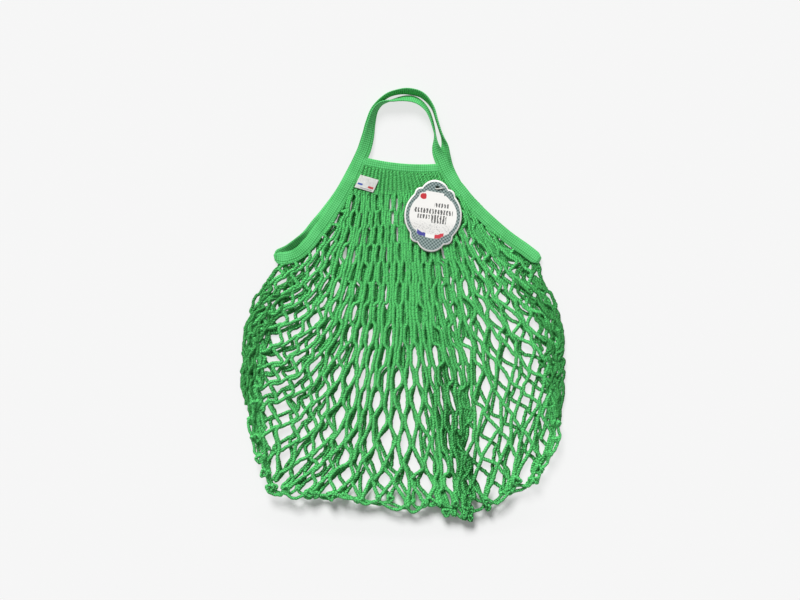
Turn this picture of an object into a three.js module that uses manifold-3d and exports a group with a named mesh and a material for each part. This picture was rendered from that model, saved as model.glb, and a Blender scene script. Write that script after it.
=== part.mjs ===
// An empty net shopping bag of green cotton, lying flat with its label side up.
// Millimetres, +Z up, +Y towards the handles, +X to the right as the label is read.
// The knitted net is a tall honeycomb: strings run in pairs, part, and pair with their other neighbour.

import * as THREE from 'three';
import { mergeVertices } from 'three/addons/utils/BufferGeometryUtils.js';
import Module from 'manifold-3d';

const wasm = await Module();
wasm.setup();

// ---- driving dimensions ----
const GAP = 0.3;                 // air kept between neighbouring pieces
const STRING = 3.4;              // one knitted cotton string, its height off the floor
const LAYER_GAP = 1.0;           // air between the two layers of net
const TAPE_WIDTH = 14;           // knitted tape of the handles and side openings
const TAPE_THICK = 2.2;
const BAND_WIDTH = 10;           // binding along the top of the ribbed panel
const BAND_THICK = 3;
const PANEL_THICK = 2.6;
const PANEL_FOOT = 356;          // height of the panel's lower edge above the bag's bottom
const PANEL_HEAD_HALF = 43;      // half the panel's width at the binding
const PANEL_FOOT_HALF = 52.5;    // half its width at the lower edge
const PANEL_MIDDLE_X = -1.7;
const RIBS = 20;                 // knitted ribs across the panel
const RIB_DEPTH = 1.1;
const COLUMNS = 16;              // paired strings across one layer
const ROWS = 11;                 // rows of paired strings from panel to bottom
const PAIRED_SHARE = 0.74;       // share of a row's height where strings run as a pair
const PAIR_HALF = 3.0;           // half the width of a pair of strings
const SINGLE_HALF = 1.75;        // half the width of one string
const FULL_PITCH = 11;           // strings drawn closer together than this are pressed slimmer
const FOLD_COLUMNS = 2.7;        // columns over which a layer closes on the other at the side folds
const LOOP_DROP = 7;             // how far the bottom loops hang below the last row
const LABEL_THICK = 0.5;
const CARE_LABEL_THICK = 0.4;
const TAG_THICK = 0.6;
const TAG_TURN = THREE.MathUtils.degToRad(-8);
const EYELET_RADIUS = 2;
const THREAD_RADIUS = 0.55;

// ---- heights of the layers above the floor ----
const BACK_NET_Z = STRING / 2;
const FRONT_NET_Z = BACK_NET_Z + STRING + LAYER_GAP;
const FOLD_Z = (BACK_NET_Z + FRONT_NET_Z) / 2;
const BACK_TAPE_Z = TAPE_THICK / 2;
const FRONT_TAPE_Z = FRONT_NET_Z;
const FOLD_TAPE_Z = (FRONT_TAPE_Z + BACK_TAPE_Z) / 2;
const LABEL_Z = FRONT_NET_Z + STRING / 2 + GAP;
const TAG_Z = LABEL_Z + LABEL_THICK + GAP;

const GREEN = 0x3fae57;
const DEEP_GREEN = 0x349a4b;
const WHITE = 0xece9e4;
const CARD_GREY = 0x8a9d98;

// ---- routes of the tapes ----
// Each stop is x, y, height of the tape's middle, and its tilt in degrees: 0 lies flat, 90 stands on edge.
// A route runs from the left corner up the side opening, over the handle's arch and down to the right corner.
const FRONT_ROUTE = tapeRoute([
  [-134, 288, FRONT_TAPE_Z, 0], [-117, 300, FRONT_TAPE_Z, 0], [-100, 313, FRONT_TAPE_Z, 0],
  [-84, 331, FRONT_TAPE_Z, 0], [-68, 354, FRONT_TAPE_Z, 0], [-55, 379, FRONT_TAPE_Z, 0],
  [-47, 398, FRONT_TAPE_Z, 2], [-41, 418, 7.4, 16], [-36, 434, 8.4, 32], [-25, 453, 8.2, 55],
  [-11, 459, 7.6, 62], [2, 461, 7.4, 63], [15, 458.5, 7.4, 63], [27, 449, 7.6, 68],
  [32.5, 435, 7.8, 73], [34.5, 421, 7.8, 73], [37, 407, 7.6, 50], [41.5, 395, 6.6, 18],
  [48, 383, FRONT_TAPE_Z, 0], [58, 366, FRONT_TAPE_Z, 0], [71, 348, FRONT_TAPE_Z, 0],
  [85, 333, FRONT_TAPE_Z, 0], [102, 318, FRONT_TAPE_Z, 0], [121, 303, FRONT_TAPE_Z, 0],
  [139, 290, FRONT_TAPE_Z, 0], [150, 281.5, FRONT_TAPE_Z, 0],
]);
const BACK_ROUTE = tapeRoute([
  [-134, 288, BACK_TAPE_Z, 0], [-117, 300, BACK_TAPE_Z, 0], [-101, 315, BACK_TAPE_Z, 0],
  [-87, 334, BACK_TAPE_Z, 0], [-72, 356, BACK_TAPE_Z, 0], [-59, 380, BACK_TAPE_Z, 0],
  [-49, 400, 1.6, 2], [-43, 418, 2.9, 12], [-39, 435, 4.8, 32], [-28, 457, 7.4, 62],
  [-13, 465.5, 7.5, 66], [2, 468, 7.5, 66], [16, 466.5, 7.5, 66], [29, 458, 7.5, 68],
  [37, 443, 7.6, 73], [42, 426, 7.6, 70], [46, 411, 6.3, 45], [48, 397, 3.2, 14],
  [51, 385, BACK_TAPE_Z, 0], [60, 369, BACK_TAPE_Z, 0], [72, 351, BACK_TAPE_Z, 0],
  [87, 335, BACK_TAPE_Z, 0], [103, 320, BACK_TAPE_Z, 0], [121, 304, BACK_TAPE_Z, 0],
  [139, 290, BACK_TAPE_Z, 0], [150, 281.5, BACK_TAPE_Z, 0],
]);
const LAST_STOP = FRONT_ROUTE.stops.length - 1;
const LEFT_JOIN = 5.2;           // where the handle meets the side tape, counted in stops from the left
const RIGHT_JOIN = 18.2;
const JOIN_SLACK = 0.012;        // half the gap at a join, in stops
const STEPS_PER_STOP = 2;

function tapeRoute(stops) {
  const points = stops.map(([x, y, z]) => new THREE.Vector3(x, y, z));
  return { stops, curve: new THREE.CatmullRomCurve3(points, false, 'centripetal') };
}

// ---- free outline of the net below the side openings, mid-string ----
const LEFT_OUTLINE = [
  [-132, 275], [-152, 257], [-166, 230], [-175, 195], [-178.3, 150], [-170, 104], [-156, 66], [-138, 41],
  [-120, 26],
];
const RIGHT_OUTLINE = [
  [145, 268], [162, 250], [174, 215], [179, 178], [176, 134], [167, 88], [152, 55], [134, 35], [114, 26],
];
const NET_TOP = PANEL_FOOT - GAP - SINGLE_HALF - 0.2;
const NET_BOTTOM = 10;           // height of the last row's feet at the middle

// A closed solid from rings of points that follow one another, with flat ends.
function sweptSolid(rings) {
  const sides = rings[0].length;
  const positions = rings.flat().flatMap((p) => [p.x, p.y, p.z]);
  const faces = [];
  for (let i = 0; i < rings.length - 1; i += 1) {
    for (let k = 0; k < sides; k += 1) {
      const a = i * sides + k;
      const b = i * sides + ((k + 1) % sides);
      faces.push(a, b, b + sides, a, b + sides, a + sides);
    }
  }
  const last = (rings.length - 1) * sides;
  for (let k = 1; k < sides - 1; k += 1) {
    faces.push(0, k + 1, k, last, last + k, last + k + 1);
  }
  return facingOut(positions, faces);
}

// The indexed solid, with its triangles turned round if they enclose a negative volume.
function facingOut(positions, faces) {
  let volume = 0;
  const corner = (i) => new THREE.Vector3().fromArray(positions, 3 * i);
  for (let i = 0; i < faces.length; i += 3) {
    volume += corner(faces[i]).dot(corner(faces[i + 1]).cross(corner(faces[i + 2])));
  }
  const geometry = new THREE.BufferGeometry();
  geometry.setAttribute('position', new THREE.Float32BufferAttribute(positions, 3));
  geometry.setIndex(volume < 0 ? [...faces].reverse() : faces);
  return geometry;
}

// ---- knitted tape ----
// The place of a tape at stop number t: its middle, the way across it and the way out of its face.
function tapePlace({ stops, curve }, t) {
  const middle = curve.getPoint(t / LAST_STOP);
  middle.z = Math.max(middle.z, BACK_TAPE_Z);
  const along = curve.getTangent(t / LAST_STOP);
  const stop = Math.min(Math.floor(t), LAST_STOP - 1);
  const tilt = THREE.MathUtils.degToRad(THREE.MathUtils.lerp(stops[stop][3], stops[stop + 1][3], t - stop));
  const outward = new THREE.Vector3(-along.y, along.x, 0).normalize();
  const up = new THREE.Vector3(0, 0, 1);
  const across = outward.clone().multiplyScalar(Math.cos(tilt)).addScaledVector(up, Math.sin(tilt));
  const normal = up.clone().multiplyScalar(Math.cos(tilt)).addScaledVector(outward, -Math.sin(tilt));
  return { middle, across, normal, along };
}

function tapeRing({ middle, across, normal }, width = TAPE_WIDTH, thick = TAPE_THICK) {
  const corners = [[-1, -1], [1, -1], [1, 1], [-1, 1]];
  return corners.map(([a, n]) => middle.clone()
    .addScaledVector(across, (a * width) / 2)
    .addScaledVector(normal, (n * thick) / 2));
}

// Stops from one count to another, evenly spaced, both ends included.
function stopsBetween(from, to) {
  const steps = Math.round(Math.abs(to - from) * STEPS_PER_STOP);
  return Array.from({ length: steps + 1 }, (_, i) => THREE.MathUtils.lerp(from, to, i / steps));
}

function handleSolid(route) {
  const stops = stopsBetween(LEFT_JOIN + JOIN_SLACK, RIGHT_JOIN - JOIN_SLACK);
  return sweptSolid(stops.map((t) => tapeRing(tapePlace(route, t))));
}

// The tape of one side opening: down the front layer, round the corner fold and up the back layer.
function sideTapeSolid(joinStop, cornerStop) {
  const frontRun = stopsBetween(joinStop, cornerStop).map((t) => tapePlace(FRONT_ROUTE, t));
  const corner = frontRun.at(-1);
  const outward = Math.sign(cornerStop - joinStop);
  const radius = (FRONT_TAPE_Z - BACK_TAPE_Z) / 2;
  const foldCentre = corner.middle.clone().setZ(FOLD_TAPE_Z);
  const fold = [30, 60, 90, 120, 150].map((degrees) => {
    const turn = THREE.MathUtils.degToRad(degrees);
    const normal = new THREE.Vector3(0, 0, Math.cos(turn))
      .addScaledVector(corner.along, outward * Math.sin(turn));
    return { middle: foldCentre.clone().addScaledVector(normal, radius), across: corner.across, normal };
  });
  const backRun = stopsBetween(cornerStop, joinStop).map((t) => {
    const place = tapePlace(BACK_ROUTE, t);
    return { ...place, normal: place.normal.negate() };
  });
  return sweptSolid([...frontRun, ...fold, ...backRun].map((place) => tapeRing(place)));
}

// A point beside the front tape's inner edge at stop t, a given distance clear of it.
function besideTape(t, clear) {
  const { middle, across } = tapePlace(FRONT_ROUTE, t);
  return middle.addScaledVector(across, -(TAPE_WIDTH / 2 + clear));
}

// ---- net ----
// One edge of the net: along the tape of the side opening, then down the free outline.
function netEdge(foot, tapeStops, outline) {
  const beside = tapeStops.map((t) => besideTape(t, GAP + SINGLE_HALF + 0.6).setZ(0));
  const free = outline.map(([x, y]) => new THREE.Vector3(x, y, 0));
  const top = new THREE.Vector3(foot, NET_TOP, 0);
  return new THREE.CatmullRomCurve3([top, ...beside, ...free], false, 'centripetal');
}
const LEFT_EDGE = netEdge(PANEL_MIDDLE_X - PANEL_FOOT_HALF, [3.4, 2.5, 1.6, 0.7], LEFT_OUTLINE);
const RIGHT_EDGE = netEdge(PANEL_MIDDLE_X + PANEL_FOOT_HALF, [20.6, 21.5, 22.5, 23.5], RIGHT_OUTLINE);

// The place in plan of the net at column share u and row share v, both from 0 to 1.
// A row runs from edge to edge and sags or rises to pass the middle line at its own height.
function netPlan(u, v) {
  const left = LEFT_EDGE.getPointAt(Math.min(v, 1));
  const right = RIGHT_EDGE.getPointAt(Math.min(v, 1));
  const middleY = THREE.MathUtils.lerp(NET_TOP, NET_BOTTOM, v);
  const side = 2 * u - 1;
  const spread = side * (1 + 0.16 * v * (1 - side * side));
  const x = THREE.MathUtils.lerp(left.x, right.x, (spread + 1) / 2);
  const edgeY = THREE.MathUtils.lerp(left.y, right.y, u);
  const y = middleY + (edgeY - middleY) * Math.abs(side) ** 2.4;
  return [x, y];
}

// Junctions of one layer of net, and the strings that link them.
function netMap(layerZ, shift) {
  const knots = [];
  const links = [];
  const lastRow = ROWS - 1 + PAIRED_SHARE;
  const rimZ = FOLD_Z + Math.sign(layerZ - FOLD_Z) * ((STRING + GAP) / 2);
  const addKnot = (column, row) => {
    const u = column / COLUMNS;
    const v = row / lastRow;
    const [x, y] = netPlan(u + (shift / COLUMNS) * Math.sin(Math.PI * u), v);
    const pitch = (netPlan(1, v)[0] - netPlan(0, v)[0]) / COLUMNS;
    const nearFold = Math.max(0, 1 - Math.min(column, COLUMNS - column) / FOLD_COLUMNS);
    const z = THREE.MathUtils.lerp(layerZ, rimZ, nearFold);
    knots.push({ x, y, z, slim: Math.min(1, pitch / FULL_PITCH), ends: [] });
    return knots.length - 1;
  };
  const link = (a, b, half) => links.push({ a, b, half });
  const heads = [];
  const feet = [];
  for (let row = 0; row < ROWS; row += 1) {
    const start = (row % 2) / 2;
    const count = row % 2 ? COLUMNS : COLUMNS + 1;
    heads.push(Array.from({ length: count }, (_, i) => addKnot(start + i, row)));
    feet.push(Array.from({ length: count }, (_, i) => addKnot(start + i, row + PAIRED_SHARE)));
    heads[row].forEach((head, i) => link(head, feet[row][i], PAIR_HALF));
  }
  for (let i = 0; i < COLUMNS; i += 1) {
    link(heads[0][i], heads[0][i + 1], SINGLE_HALF);
    const loop = addKnot(i + 0.5, lastRow);
    knots[loop].y -= LOOP_DROP;
    link(feet[ROWS - 1][i], loop, SINGLE_HALF);
    link(loop, feet[ROWS - 1][i + 1], SINGLE_HALF);
  }
  for (let row = 0; row < ROWS - 1; row += 1) {
    const reach = row % 2 ? [0, 1] : [-1, 0];
    feet[row].forEach((foot, i) => reach
      .map((step) => heads[row + 1][i + step])
      .filter((head) => head !== undefined)
      .forEach((head) => link(foot, head, SINGLE_HALF)));
    if (row % 2 === 0 && row + 2 < ROWS) {
      for (const side of [0, COLUMNS]) {
        const stops = [0.3, 0.6].map((share) => addKnot(side, row + PAIRED_SHARE + share * (2 - PAIRED_SHARE)));
        const ends = side === 0 ? [feet[row][0], heads[row + 2][0]] : [feet[row].at(-1), heads[row + 2].at(-1)];
        [ends[0], ...stops].forEach((knot, i) => link(knot, [...stops, ends[1]][i], SINGLE_HALF));
      }
    }
  }
  return { knots, links };
}

// A net as one closed solid. Each junction has a top point, a bottom point and one point in each
// angle between its strings. Each string is a bar of diamond section between those points.
function netSolid({ knots, links }) {
  links.forEach(({ a, b, half }) => {
    knots[a].ends.push({ to: b, half });
    knots[b].ends.push({ to: a, half });
  });
  const positions = [];
  const faces = [];
  knots.forEach((knot) => {
    knot.ends.forEach((end) => {
      end.angle = Math.atan2(knots[end.to].y - knot.y, knots[end.to].x - knot.x);
    });
    knot.ends.sort((p, q) => p.angle - q.angle);
    knot.first = positions.length / 3;
    positions.push(knot.x, knot.y, knot.z + STRING / 2, knot.x, knot.y, knot.z - STRING / 2);
    knot.ends.forEach((end, i) => {
      const next = knot.ends[(i + 1) % knot.ends.length];
      const opening = (next.angle - end.angle + 2 * Math.PI) % (2 * Math.PI) || 2 * Math.PI;
      const reach = ((end.half + next.half) / 2) * knot.slim / Math.max(Math.sin(opening / 2), 0.42);
      const way = end.angle + opening / 2;
      positions.push(knot.x + reach * Math.cos(way), knot.y + reach * Math.sin(way), knot.z);
    });
  });
  const angleAfter = (knot, to) => {
    const i = knot.ends.findIndex((end) => end.to === to);
    const count = knot.ends.length;
    return { after: knot.first + 2 + i, before: knot.first + 2 + ((i + count - 1) % count) };
  };
  links.forEach(({ a, b }) => {
    const here = angleAfter(knots[a], b);
    const there = angleAfter(knots[b], a);
    const [topA, topB] = [knots[a].first, knots[b].first];
    const [lowA, lowB] = [topA + 1, topB + 1];
    faces.push(topA, topB, there.before, topA, there.before, here.after);
    faces.push(topA, here.before, there.after, topA, there.after, topB);
    faces.push(lowA, there.before, lowB, lowA, here.after, there.before);
    faces.push(lowA, there.after, here.before, lowA, lowB, there.after);
  });
  return facingOut(positions, faces);
}

// ---- ribbed panel and its binding ----
const CUT_THICK = 9;             // deep enough to cut through either layer
const UNDER_TAPE = 4;            // how far the uncut panel reaches under each tape

// A closed geometry as a solid that can be cut.
function toSolid(geometry) {
  geometry.deleteAttribute('normal');
  geometry.deleteAttribute('uv');
  const merged = mergeVertices(geometry, 1e-4);
  return new wasm.Manifold(new wasm.Mesh({
    numProp: 3,
    vertProperties: new Float32Array(merged.attributes.position.array),
    triVerts: new Uint32Array(merged.index.array),
  }));
}

function toGeometry(solid) {
  const mesh = solid.getMesh();
  const geometry = new THREE.BufferGeometry();
  geometry.setAttribute('position', new THREE.BufferAttribute(new Float32Array(mesh.vertProperties), 3));
  geometry.setIndex(new THREE.BufferAttribute(new Uint32Array(mesh.triVerts), 1));
  return geometry;
}

// The piece without what lies under or over the tapes beside the panel, and a gap clear of them.
function cutBesideTapes(geometry, route) {
  const stretches = [[LEFT_JOIN - 2, LEFT_JOIN + 1.3], [RIGHT_JOIN - 1.7, RIGHT_JOIN + 2.3]];
  const trimmed = stretches.reduce((solid, [from, to]) => {
    const places = stopsBetween(from, to).map((t) => tapePlace(route, t));
    const rings = places.map((place) => tapeRing(place, TAPE_WIDTH + 2 * GAP, CUT_THICK));
    return solid.subtract(toSolid(sweptSolid(rings)));
  }, toSolid(geometry));
  const kept = trimmed.decompose().sort((a, b) => b.volume() - a.volume())[0];
  return toGeometry(kept);
}
// Height of the panel's top edge at x: the binding sags between the handles.
function bindingHeight(x) {
  return 385.5 + 0.0022 * (x - 22) ** 2;
}

// The panel between the tapes, ribbed on the face turned to ribSide.
function panelSolid(z, ribSide, route) {
  const lines = Array.from({ length: 2 * RIBS + 1 }, (_, i) => i / (2 * RIBS));
  const flatZ = z - (ribSide * PANEL_THICK) / 2;
  const rings = lines.map((u, i) => {
    const ribZ = z + ribSide * (PANEL_THICK / 2 - (i % 2 ? 0 : RIB_DEPTH));
    const side = 2 * u - 1;
    const footX = PANEL_MIDDLE_X + side * (PANEL_FOOT_HALF + UNDER_TAPE);
    const headX = PANEL_MIDDLE_X + side * (PANEL_HEAD_HALF + UNDER_TAPE);
    const headY = bindingHeight(headX) - BAND_WIDTH / 2 - GAP;
    return [[footX, PANEL_FOOT, flatZ], [headX, headY, flatZ], [headX, headY, ribZ], [footX, PANEL_FOOT, ribZ]]
      .map((p) => new THREE.Vector3(...p));
  });
  return cutBesideTapes(sweptSolid(rings), route);
}

function bindingSolid(z, route) {
  const steps = 12;
  const rings = Array.from({ length: steps + 1 }, (_, i) => {
    const x = PANEL_MIDDLE_X + ((2 * i) / steps - 1) * PANEL_HEAD_HALF;
    const middle = new THREE.Vector3(x, bindingHeight(x), z);
    return tapeRing({
      middle, across: new THREE.Vector3(0, 1, 0), normal: new THREE.Vector3(0, 0, 1),
    }, BAND_WIDTH, BAND_THICK);
  });
  return cutBesideTapes(sweptSolid(rings), route);
}

// ---- labels ----
function plateSolid(outline, thick) {
  return new THREE.ExtrudeGeometry(outline, { depth: thick, bevelEnabled: false, curveSegments: 16 });
}

function cornerShape(corners) {
  return new THREE.Shape(corners.map(([x, y]) => new THREE.Vector2(x, y)));
}

// The tag's lobed outline is the union of seven round discs, given as x, y and radius.
const TAG_DISCS = [
  [0, 0, 31.5], [0, 23.5, 15.8], [0, -24.2, 16],
  [15.3, 23, 7], [-15.3, 23, 7], [15.9, -23.5, 7.5], [-15.9, -23.5, 7.5],
];
const TAG_MIDDLE = [33, 331.5];
const EYELET = [0, 31];

function tagShape() {
  const points = Array.from({ length: 96 }, (_, i) => {
    const angle = (2 * Math.PI * i) / 96;
    const [dx, dy] = [Math.cos(angle), Math.sin(angle)];
    const reach = TAG_DISCS.map(([x, y, radius]) => {
      const aside = x * dy - y * dx;
      return Math.abs(aside) < radius ? x * dx + y * dy + Math.sqrt(radius ** 2 - aside ** 2) : 0;
    });
    const far = Math.max(...reach);
    return new THREE.Vector2(far * dx, far * dy);
  });
  const shape = new THREE.Shape(points);
  const hole = new THREE.Path();
  hole.absarc(...EYELET, EYELET_RADIUS, 0, 2 * Math.PI, true);
  shape.holes.push(hole);
  return shape;
}

// The white thread comes up through the eyelet and lies over the card.
function threadSolid() {
  const [x, y] = EYELET;
  const over = TAG_THICK + GAP + THREAD_RADIUS;
  const stops = [
    [x, y, -1.2], [x, y, 0.2], [x + 0.3, y, over - 0.2], [x + 1.4, y, over + 0.25], [x + 4, y - 0.4, over],
    [x + 8, y + 0.6, over],
  ];
  const route = new THREE.CatmullRomCurve3(stops.map((p) => new THREE.Vector3(...p)));
  const section = new THREE.Shape().absarc(0, 0, THREAD_RADIUS, 0, 2 * Math.PI);
  return new THREE.ExtrudeGeometry(section, { steps: 16, curveSegments: 4, extrudePath: route });
}

// ---- assembly ----
const bag = new THREE.Group();

function addPiece(parent, name, geometry, color, roughness = 0.9) {
  geometry.deleteAttribute('normal');
  geometry.deleteAttribute('uv');
  const material = new THREE.MeshStandardMaterial({ color, roughness });
  const piece = new THREE.Mesh(mergeVertices(geometry, 1e-4), material);
  piece.name = name;
  parent.add(piece);
  return piece;
}

addPiece(bag, 'net_front', netSolid(netMap(FRONT_NET_Z, 0)), GREEN);
addPiece(bag, 'net_back', netSolid(netMap(BACK_NET_Z, 0.3)), DEEP_GREEN);
addPiece(bag, 'rib_panel_front', panelSolid(FRONT_NET_Z, 1, FRONT_ROUTE), GREEN);
addPiece(bag, 'rib_panel_back', panelSolid(PANEL_THICK / 2, -1, BACK_ROUTE), DEEP_GREEN);
addPiece(bag, 'top_band_front', bindingSolid(FRONT_NET_Z, FRONT_ROUTE), GREEN);
addPiece(bag, 'top_band_back', bindingSolid(BAND_THICK / 2, BACK_ROUTE), DEEP_GREEN);
addPiece(bag, 'side_tape_left', sideTapeSolid(LEFT_JOIN - JOIN_SLACK, 0), GREEN);
addPiece(bag, 'side_tape_right', sideTapeSolid(RIGHT_JOIN + JOIN_SLACK, LAST_STOP), GREEN);
addPiece(bag, 'handle_front', handleSolid(FRONT_ROUTE), GREEN);
addPiece(bag, 'handle_back', handleSolid(BACK_ROUTE), DEEP_GREEN);

const wovenLabel = cornerShape([[-53.4, 363], [-33, 356.4], [-26.4, 370.7], [-46.8, 376.2]]);
addPiece(bag, 'woven_label', plateSolid(wovenLabel, LABEL_THICK), WHITE, 0.7).position.z = LABEL_Z;
const careLabel = cornerShape([[-15, 320], [2, 320], [2, 350], [-15, 350]]);
const careLabelPiece = addPiece(bag, 'care_label', plateSolid(careLabel, CARE_LABEL_THICK), WHITE, 0.7);
careLabelPiece.position.z = FOLD_Z - CARE_LABEL_THICK / 2;

const tag = new THREE.Group();
tag.position.set(...TAG_MIDDLE, TAG_Z);
tag.rotation.z = TAG_TURN;
addPiece(tag, 'hang_tag', plateSolid(tagShape(), TAG_THICK), CARD_GREY, 0.6);
addPiece(tag, 'tag_tie', threadSolid(), WHITE, 0.9);
bag.add(tag);

// The origin is under the middle of the bag's outline, on the floor.
bag.updateMatrixWorld(true);
const outline = new THREE.Box3().setFromObject(bag);
const middle = outline.getCenter(new THREE.Vector3());
bag.position.set(-middle.x, -middle.y, -outline.min.z);

export default bag;
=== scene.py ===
import bpy
import numpy as np
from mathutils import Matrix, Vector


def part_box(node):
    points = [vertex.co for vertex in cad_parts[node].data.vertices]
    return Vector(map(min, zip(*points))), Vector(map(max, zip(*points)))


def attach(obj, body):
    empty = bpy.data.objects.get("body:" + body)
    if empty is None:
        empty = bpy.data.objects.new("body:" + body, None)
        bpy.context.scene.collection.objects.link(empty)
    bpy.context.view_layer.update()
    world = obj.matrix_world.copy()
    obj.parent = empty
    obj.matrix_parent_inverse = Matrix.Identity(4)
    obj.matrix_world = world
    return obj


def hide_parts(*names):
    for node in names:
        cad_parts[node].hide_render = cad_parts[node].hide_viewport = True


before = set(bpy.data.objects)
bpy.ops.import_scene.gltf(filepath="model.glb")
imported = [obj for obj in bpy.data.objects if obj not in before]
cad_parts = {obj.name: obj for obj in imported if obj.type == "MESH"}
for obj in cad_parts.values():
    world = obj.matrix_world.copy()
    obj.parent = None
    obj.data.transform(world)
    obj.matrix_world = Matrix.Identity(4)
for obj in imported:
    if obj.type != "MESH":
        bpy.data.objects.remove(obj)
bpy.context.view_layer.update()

# ---- Net ----
# Two layers of raschel-knitted cotton string, dyed green. Each string is a chain of loops. It runs side by
# side with one neighbour, crosses over, and runs with the other, so tall holes open between. The layers are
# one knit that folds round at the sides, where the strings gather and run down the fold together.

# The bag is drawn flat, in millimetres: x from its middle line, y up from its foot, z off the floor. The
# woven label's low corner, which the frame gives, places that drawing in metres.
MM = 0.001
LABEL_CORNERS = np.array([(-53.4, 363.0), (-33.0, 356.4), (-26.4, 370.7), (-46.8, 376.2)])
ORIGIN = np.array(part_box("woven_label")[0]) - np.array([*LABEL_CORNERS.min(0) * MM, 0])
ORIGIN[2] = 0.0

GREEN_DEEP = (0.007, 0.090, 0.014, 1)
GREEN_BRIGHT = (0.140, 0.750, 0.212, 1)
STITCH = 2.6
STITCH_RELIEF = 0.0012
STRING_WIDTH = 3.5
STRING_HEIGHT = 2.4
STRING_SIDES = 8
WIDTH_HEIGHTS = (0, 150, 230, 275, 345)
WIDTH_SHARES = (1.26, 1.16, 1.18, 1.12, 0.95)
RING_STEP = 1.05
COLUMNS = 24
STRINGS = 2 * COLUMNS
ROWS = 16
FRONT_NET_Z = 6.4
BACK_NET_Z = 1.9
FRONT_SEED = 11
BACK_SEED = 57
FOLD_Z = 4.6
FOLD_SHARE = 0.99
FOLD_BEND = 0.02
GATHER = 0.17
GATHER_REACH = 150
CORNER_Y = 270.0
FOOT_Y = 45
FOOT_LIFT = 7.6
PLEAT_SHARE = 0.71
PLEAT_WIDE = 0.06
# The slanting band of painted shade down the pleat: its x at the foot, and how far it moves in per millimetre
# up.
PLEAT_SHADE_FOOT = 82.0
PLEAT_SHADE_SLOPE = 0.28

# Where the net hangs, in rows from the top one down. Low down the rows' ends lie past the bag's sides, where
# the net folds round. The sides are listed from the top down too, and turned round to run upwards.
NET_FALL = np.array([
    [(-77, 353), (-66, 353), (-54, 352), (-41, 352), (-28, 352), (-14, 352), (-1, 352), (12, 352),
     (25, 352), (38, 352), (54, 352), (67, 353), (79, 353)],
    [(-97, 324), (-77, 322), (-60, 320), (-44, 318), (-29, 319), (-15, 320), (-1, 320), (13, 320),
     (27, 320), (42, 319), (60, 320), (80, 322), (99, 324)],
    [(-120, 298), (-92, 289), (-69, 283), (-50, 280), (-33, 280), (-16, 280), (0, 280), (16, 280),
     (32, 280), (49, 280), (69, 282), (94, 286), (121, 294)],
    [(-141, 270), (-109, 254), (-81, 244), (-58, 237), (-38, 235), (-18, 235), (0, 235), (19, 235),
     (37, 235), (57, 237), (81, 242), (110, 249), (142, 263)],
    [(-164, 246), (-131, 223), (-98, 204), (-69, 193), (-45, 189), (-22, 189), (0, 189), (23, 189),
     (45, 189), (67, 191), (95, 200), (129, 212), (162, 232)],
    [(-185, 222), (-158, 198), (-122, 165), (-86, 151), (-56, 142), (-29, 142), (-1, 142), (28, 142),
     (53, 142), (74, 144), (106, 157), (146, 176), (180, 200)],
    [(-204, 200), (-179, 177), (-144, 140), (-103, 111), (-67, 98), (-35, 94), (0, 94), (33, 94),
     (56, 94), (75, 96), (112, 114), (157, 139), (193, 166)],
    [(-205, 168), (-188, 145), (-160, 112), (-122, 74), (-84, 59), (-43, 50), (1, 48), (38, 47),
     (59, 46), (76, 48), (112, 72), (152, 98), (186, 130)],
    [(-186, 124), (-178, 100), (-164, 66), (-142, 34), (-104, 21), (-52, 12), (2, 12), (43, 8),
     (64, 6), (82, 9), (110, 22), (148, 45), (176, 90)],
], float)
LEFT_SIDE = np.array([
    (-58, 360), (-69, 343), (-86, 324), (-102, 304), (-117, 292), (-132, 285), (-139, 278), (-147, 264),
    (-157, 251), (-165, 238), (-170, 224), (-175, 211), (-177, 185), (-180, 158), (-180, 139), (-173, 119),
    (-166, 92), (-158, 66), (-150, 44), (-145, 30),
], float)[::-1]
RIGHT_SIDE = np.array([
    (63, 360), (76, 349), (96, 324), (118, 305), (142, 287), (152, 278), (152, 264), (161, 251),
    (168, 238), (173, 224), (176, 211), (180, 185), (179, 158), (178, 132), (174, 106), (167, 79),
    (163, 66), (153, 53), (146, 40), (128, 30),
], float)[::-1]


def place(points):
    """Points of the drawing, moved into the frame: millimetres times a thousandth, plus the origin."""
    return np.asarray(points, float) * MM + ORIGIN


def smooth_line(points, steps):
    """Lines through points, shape (lines, points, values). Each span is the cubic that leaves one point and
    meets the next with slopes of half the way between their neighbours."""
    before = 2 * points[:, :1] - points[:, 1:2]
    after = 2 * points[:, -1:] - points[:, -2:-1]
    p = np.concatenate([before, points, after], 1)[:, :, None]
    t = (np.arange(steps) / steps)[:, None]
    p0, p1, p2, p3 = p[:, :-3], p[:, 1:-2], p[:, 2:-1], p[:, 3:]
    square = p0 - 2.5 * p1 + 2 * p2 - p3 / 2
    cube = 1.5 * (p1 - p2) + (p3 - p0) / 2
    span = p1 + t * (p2 - p0) / 2 + t**2 * square + t**3 * cube
    return np.concatenate([span.reshape(len(points), -1, points.shape[2]), points[:, -1:]], 1)


def arc_length(lines):
    """Length along each line, shape (lines, points): the running sum of the steps' lengths."""
    steps = np.linalg.norm(np.diff(lines, axis=1), axis=2)
    return np.concatenate([np.zeros((len(lines), 1)), np.cumsum(steps, 1)], 1)


def even_steps(lines, count):
    """The lines again, each with count points at even lengths, on straight lines between the old ones."""
    made = []
    for line, length in zip(lines, arc_length(lines)):
        even = np.linspace(0, length[-1], count)
        made.append(np.stack([np.interp(even, length, line[:, i]) for i in range(line.shape[1])], 1))
    return np.array(made)


def cubic_weights(share, spans):
    """The span each share from 0 to 1 falls in, and the four weights of the cubic there."""
    at = np.clip(share, 0, 1) * spans
    span = np.minimum(at.astype(int), spans - 1)
    t = at - span
    weights = [
        (-t + 2 * t**2 - t**3) / 2,
        1 - 2.5 * t**2 + 1.5 * t**3,
        (t + 4 * t**2 - 3 * t**3) / 2,
        (t**3 - t**2) / 2,
    ]
    return span, weights


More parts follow.
